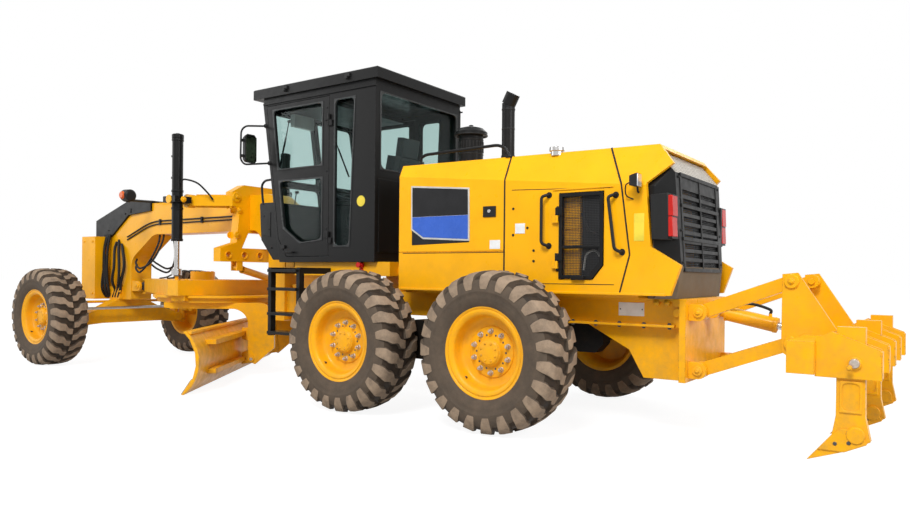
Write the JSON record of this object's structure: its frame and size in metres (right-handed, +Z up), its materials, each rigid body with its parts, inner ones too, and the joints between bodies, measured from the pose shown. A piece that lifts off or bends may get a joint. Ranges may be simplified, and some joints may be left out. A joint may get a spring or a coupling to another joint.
{
  "type": "motor grader",
  "caption": "Six-wheel articulated motor grader with a gooseneck front frame, turning circle and curved blade, leaning steered front wheels and a rear ripper.",
  "frame": {"origin": "on the ground, under the middle of the whole machine", "axes": "+X forward, +Y to the left, +Z up"},
  "size_m": [10.1499, 3.0265, 3.1683],
  "materials": {
    "yellow_paint": "amber-yellow gloss machine enamel, chalked and dusty",
    "black_paint": "satin charcoal-black enamel",
    "tyre": "black rubber under dry grey-brown dust",
    "rim_yellow": "amber-yellow enamel with road dust",
    "glass": "clear glass with a slight green-blue tint",
    "bare_steel": "hard chrome piston rods",
    "worn_steel": "scoured bare steel",
    "dark_steel": "black and grease-stained steel",
    "seat_fabric": "dark woven seat cloth",
    "engine_metal": "grey cast iron, closed in"
  },
  "bodies": {
    "rear_machine": {"rear_frame": "yellow_paint", "rear_axle": "black_paint", "engine_block": "engine_metal", "hood_front": "yellow_paint", "hood_rear": "yellow_paint", "rear_grille": "black_paint", "exhaust_stack": "black_paint", "air_precleaner": "black_paint", "ladders": "black_paint", "cab_frame": "black_paint", "cab_roof": "black_paint", "cab_glass": "glass", "cab_interior": "seat_fabric"},
    "front_machine": {"front_frame": "yellow_paint", "gooseneck_cover": "black_paint", "saddle": "yellow_paint", "front_axle": "yellow_paint"},
    "lean_bar": {"lean_bar": "yellow_paint"},
    "tie_rod_end": {"tie_rod_end": "dark_steel"},
    "tie_rod": {"tie_rod": "worn_steel"},
    "drawbar_ball": {"drawbar_ball": "dark_steel"},
    "drawbar": {"drawbar": "yellow_paint"},
    "circle": {"circle": "yellow_paint"},
    "blade_brackets": {"blade_brackets": "yellow_paint"},
    "blade": {"blade": "yellow_paint"},
    "shift_barrel": {"shift_barrel": "yellow_paint"},
    "shift_rod": {"shift_rod": "bare_steel"},
    "ripper_lower_arms": {"ripper_lower_arms": "yellow_paint"},
    "ripper_upper_arms": {"ripper_upper_arms": "yellow_paint"},
    "ripper_carriage": {"ripper_carriage": "yellow_paint"},
    "ripper_barrel": {"ripper_barrel": "black_paint"},
    "ripper_rod": {"ripper_rod": "bare_steel"},
    "cab_door_left": {"cab_door_left": "black_paint", "door_glass_left": "glass"},
    "engine_door_left": {"engine_door_left": "black_paint"},
    "wheel_front_left": {"tyre_front_left": "tyre", "rim_front_left": "rim_yellow"},
    "wheel_mid_left": {"tyre_mid_left": "tyre", "rim_mid_left": "rim_yellow"},
    "wheel_rear_left": {"tyre_rear_left": "tyre", "rim_rear_left": "rim_yellow"},
    "lean_carrier_left": {"lean_carrier_left": "yellow_paint"},
    "knuckle_left": {"knuckle_left": "yellow_paint"},
    "lift_gimbal_left": {"lift_gimbal_left": "black_paint"},
    "lift_barrel_left": {"lift_barrel_left": "black_paint"},
    "lift_rod_left": {"lift_rod_left": "bare_steel"},
    "cab_door_right": {"cab_door_right": "black_paint", "door_glass_right": "glass"},
    "engine_door_right": {"engine_door_right": "black_paint"},
    "wheel_front_right": {"tyre_front_right": "tyre", "rim_front_right": "rim_yellow"},
    "wheel_mid_right": {"tyre_mid_right": "tyre", "rim_mid_right": "rim_yellow"},
    "wheel_rear_right": {"tyre_rear_right": "tyre", "rim_rear_right": "rim_yellow"},
    "lean_carrier_right": {"lean_carrier_right": "yellow_paint"},
    "knuckle_right": {"knuckle_right": "yellow_paint"},
    "lift_gimbal_right": {"lift_gimbal_right": "black_paint"},
    "lift_barrel_right": {"lift_barrel_right": "black_paint"},
    "lift_rod_right": {"lift_rod_right": "bare_steel"}
  },
  "joints": [
    {"name": "cab_door_left", "type": "hinge", "parent": "rear_machine", "child": "cab_door_left", "pos_m": [-0.278, 0.704, 2.163], "axis": [0, 0, 1], "range_deg": [0, 100]},
    {"name": "engine_door_left", "type": "hinge", "parent": "rear_machine", "child": "engine_door_left", "pos_m": [-2.82, 0.718, 1.523], "axis": [0, 0, -1], "range_deg": [0, 95]},
    {"name": "cab_door_right", "type": "hinge", "parent": "rear_machine", "child": "cab_door_right", "pos_m": [-0.278, -0.704, 2.163], "axis": [0, 0, -1], "range_deg": [0, 100]},
    {"name": "engine_door_right", "type": "hinge", "parent": "rear_machine", "child": "engine_door_right", "pos_m": [-2.82, -0.718, 1.523], "axis": [0, 0, 1], "range_deg": [0, 95]},
    {"name": "wheel_mid_left", "type": "hinge", "parent": "rear_machine", "child": "wheel_mid_left", "pos_m": [-0.9645, 1.07, 0.628], "axis": [0, 1, 0], "continuous": true},
    {"name": "wheel_mid_right", "type": "hinge", "parent": "rear_machine", "child": "wheel_mid_right", "pos_m": [-0.9645, -1.07, 0.628], "axis": [0, 1, 0], "continuous": true},
    {"name": "wheel_rear_left", "type": "hinge", "parent": "rear_machine", "child": "wheel_rear_left", "pos_m": [-2.4895, 1.07, 0.628], "axis": [0, 1, 0], "continuous": true},
    {"name": "wheel_rear_right", "type": "hinge", "parent": "rear_machine", "child": "wheel_rear_right", "pos_m": [-2.4895, -1.07, 0.628], "axis": [0, 1, 0], "continuous": true},
    {"name": "articulation", "type": "hinge", "parent": "rear_machine", "child": "front_machine", "pos_m": [0.78, 0, 0.878], "axis": [0, 0, -1], "range_deg": [-20, 20]},
    {"name": "lean_left", "type": "hinge", "parent": "front_machine", "child": "lean_carrier_left", "pos_m": [4.42, 0.74, 0.563], "axis": [1, 0, 0], "range_deg": [-18, 18]},
    {"name": "lean_right", "type": "hinge", "parent": "front_machine", "child": "lean_carrier_right", "pos_m": [4.42, -0.74, 0.563], "axis": [1, 0, 0], "range_deg": [-18, 18]},
    {"name": "lean_bar", "type": "hinge", "parent": "lean_carrier_left", "child": "lean_bar", "pos_m": [4.565, 0.74, 0.798], "axis": [1, 0, 0], "range_deg": [-18, 18]},
    {"name": "steer_left", "type": "hinge", "parent": "lean_carrier_left", "child": "knuckle_left", "pos_m": [4.42, 0.862, 0.628], "axis": [0, 0, 1], "range_deg": [-45, 45]},
    {"name": "steer_right", "type": "hinge", "parent": "lean_carrier_right", "child": "knuckle_right", "pos_m": [4.42, -0.862, 0.628], "axis": [0, 0, 1], "range_deg": [-45, 45]},
    {"name": "tie_rod_end", "type": "hinge", "parent": "knuckle_left", "child": "tie_rod_end", "pos_m": [4.195, 0.862, 0.658], "axis": [0, 0, 1], "range_deg": [-45, 45]},
    {"name": "tie_rod", "type": "hinge", "parent": "tie_rod_end", "child": "tie_rod", "pos_m": [4.195, 0.862, 0.724], "axis": [1, 0, 0], "range_deg": [-16, 16]},
    {"name": "wheel_front_left", "type": "hinge", "parent": "knuckle_left", "child": "wheel_front_left", "pos_m": [4.42, 1.07, 0.628], "axis": [0, 1, 0], "continuous": true},
    {"name": "wheel_front_right", "type": "hinge", "parent": "knuckle_right", "child": "wheel_front_right", "pos_m": [4.42, -1.07, 0.628], "axis": [0, 1, 0], "continuous": true},
    {"name": "drawbar_lift", "type": "hinge", "parent": "front_machine", "child": "drawbar_ball", "pos_m": [3.96, 0, 1.023], "axis": [0, 1, 0], "range_deg": [-8, 6.5]},
    {"name": "drawbar_swing", "type": "hinge", "parent": "drawbar_ball", "child": "drawbar", "pos_m": [3.96, 0, 1.023], "axis": [0, 0, 1], "range_deg": [-7, 7]},
    {"name": "circle_turn", "type": "hinge", "parent": "drawbar", "child": "circle", "pos_m": [2.32, 0, 0.863], "axis": [0, 0, 1], "range_deg": [-82, 8]},
    {"name": "blade_tip", "type": "hinge", "parent": "circle", "child": "blade_brackets", "pos_m": [1.88474, -0.32799, 0.203], "axis": [-0.6018, 0.7986, 0], "range_deg": [-5, 30]},
    {"name": "blade_shift", "type": "slide", "parent": "blade_brackets", "child": "blade", "axis": [-0.6018, 0.7986, 0], "range_m": [-0.9, 0.28]},
    {"name": "lift_gimbal_left", "type": "hinge", "parent": "front_machine", "child": "lift_gimbal_left", "pos_m": [2.06, 0.63, 2.053], "axis": [0, 1, 0], "range_deg": [-3, 3]},
    {"name": "lift_barrel_left", "type": "hinge", "parent": "lift_gimbal_left", "child": "lift_barrel_left", "pos_m": [2.06, 0.8, 2.053], "axis": [1, 0, 0], "range_deg": [-15, 15]},
    {"name": "lift_rod_left", "type": "slide", "parent": "lift_barrel_left", "child": "lift_rod_left", "axis": [0, 0, 1], "range_m": [-0.28, 0.33]},
    {"name": "lift_gimbal_right", "type": "hinge", "parent": "front_machine", "child": "lift_gimbal_right", "pos_m": [2.06, -0.63, 2.053], "axis": [0, 1, 0], "range_deg": [-3, 3]},
    {"name": "lift_barrel_right", "type": "hinge", "parent": "lift_gimbal_right", "child": "lift_barrel_right", "pos_m": [2.06, -0.8, 2.053], "axis": [1, 0, 0], "range_deg": [-15, 15]},
    {"name": "lift_rod_right", "type": "slide", "parent": "lift_barrel_right", "child": "lift_rod_right", "axis": [0, 0, 1], "range_m": [-0.28, 0.33]},
    {"name": "shift_barrel", "type": "hinge", "parent": "front_machine", "child": "shift_barrel", "pos_m": [1.65, 0.284, 1.275], "axis": [1, 0, 0], "range_deg": [-17, 17]},
    {"name": "shift_rod", "type": "slide", "parent": "shift_barrel", "child": "shift_rod", "axis": [0.1949, -0.9588, -0.2066], "range_m": [-0.27, 0.27]},
    {"name": "ripper_lift", "type": "hinge", "parent": "rear_machine", "child": "ripper_lower_arms", "pos_m": [-3.86, 0, 0.523], "axis": [0, 1, 0], "range_deg": [-38, 10]},
    {"name": "ripper_upper_arms", "type": "hinge", "parent": "rear_machine", "child": "ripper_upper_arms", "pos_m": [-3.86, 0, 0.953], "axis": [0, 1, 0], "range_deg": [-38, 10]},
    {"name": "ripper_carriage", "type": "hinge", "parent": "ripper_lower_arms", "child": "ripper_carriage", "pos_m": [-4.5, 0, 0.763], "axis": [0, 1, 0], "range_deg": [-10, 38]},
    {"name": "ripper_barrel", "type": "hinge", "parent": "rear_machine", "child": "ripper_barrel", "pos_m": [-3.86, 0, 0.953], "axis": [0, 1, 0], "range_deg": [-32, 9]},
    {"name": "ripper_rod", "type": "slide", "parent": "ripper_barrel", "child": "ripper_rod", "axis": [-0.9787, 0, -0.2052], "range_m": [-0.07, 0.24]}
  ],
  "couplings": [
    {"joint": "lean_right", "follows": "lean_left", "ratio": 1},
    {"joint": "lean_bar", "follows": "lean_left", "ratio": -1},
    {"joint": "steer_right", "follows": "steer_left", "ratio": 1},
    {"joint": "tie_rod_end", "follows": "steer_left", "ratio": -1},
    {"joint": "tie_rod", "follows": "lean_left", "ratio": -0.86},
    {"joint": "lift_gimbal_left", "follows": "drawbar_lift", "ratio": -0.25},
    {"joint": "lift_barrel_left", "follows": "drawbar_swing", "ratio": -2.1},
    {"joint": "lift_rod_left", "follows": "drawbar_lift", "m_per_rad": 1.93},
    {"joint": "lift_gimbal_right", "follows": "drawbar_lift", "ratio": -0.25},
    {"joint": "lift_barrel_right", "follows": "drawbar_swing", "ratio": -2.1},
    {"joint": "lift_rod_right", "follows": "drawbar_lift", "m_per_rad": 1.93},
    {"joint": "shift_barrel", "follows": "drawbar_lift", "ratio": -2},
    {"joint": "shift_rod", "follows": "drawbar_swing", "m_per_rad": 2.13},
    {"joint": "ripper_upper_arms", "follows": "ripper_lift", "ratio": 1},
    {"joint": "ripper_carriage", "follows": "ripper_lift", "ratio": -1},
    {"joint": "ripper_barrel", "follows": "ripper_lift", "ratio": 0.82},
    {"joint": "ripper_rod", "follows": "ripper_lift", "m_per_rad": -0.34}
  ]
}
